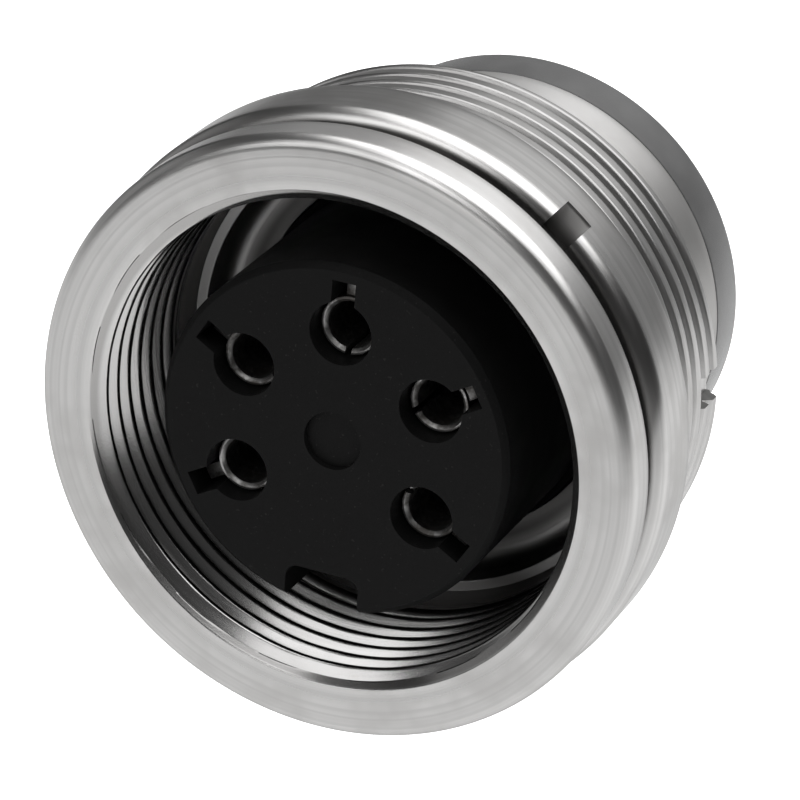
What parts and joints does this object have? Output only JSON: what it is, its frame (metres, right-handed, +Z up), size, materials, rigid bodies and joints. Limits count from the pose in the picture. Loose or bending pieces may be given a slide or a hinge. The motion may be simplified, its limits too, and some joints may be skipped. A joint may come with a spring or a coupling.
{
  "type": "circular panel connector",
  "caption": "Round female panel connector: nickel shell with flange, collar, panel thread and internal coupling thread, black keyed insert with socket contacts, solder cups behind.",
  "frame": {"origin": "on the connector's axis, in the collar's rear face that seats on the panel", "axes": "+Y along the axis to the wiring side, -Y to the mating side, +Z up, with the key at -Z"},
  "size_m": [0.0196, 0.019, 0.0196],
  "materials": {
    "nickel_shell": "satin nickel plate over turned metal",
    "insert_plastic": "moulded black",
    "retainer_plastic": "moulded black",
    "contact_plating": "silver plate over brass"
  },
  "bodies": {
    "root": {"shell": "nickel_shell", "socket_insert": "insert_plastic", "contact_retainer": "retainer_plastic", "contact_1": "contact_plating", "contact_2": "contact_plating", "contact_3": "contact_plating", "contact_4": "contact_plating", "contact_5": "contact_plating"}
  },
  "joints": []
}
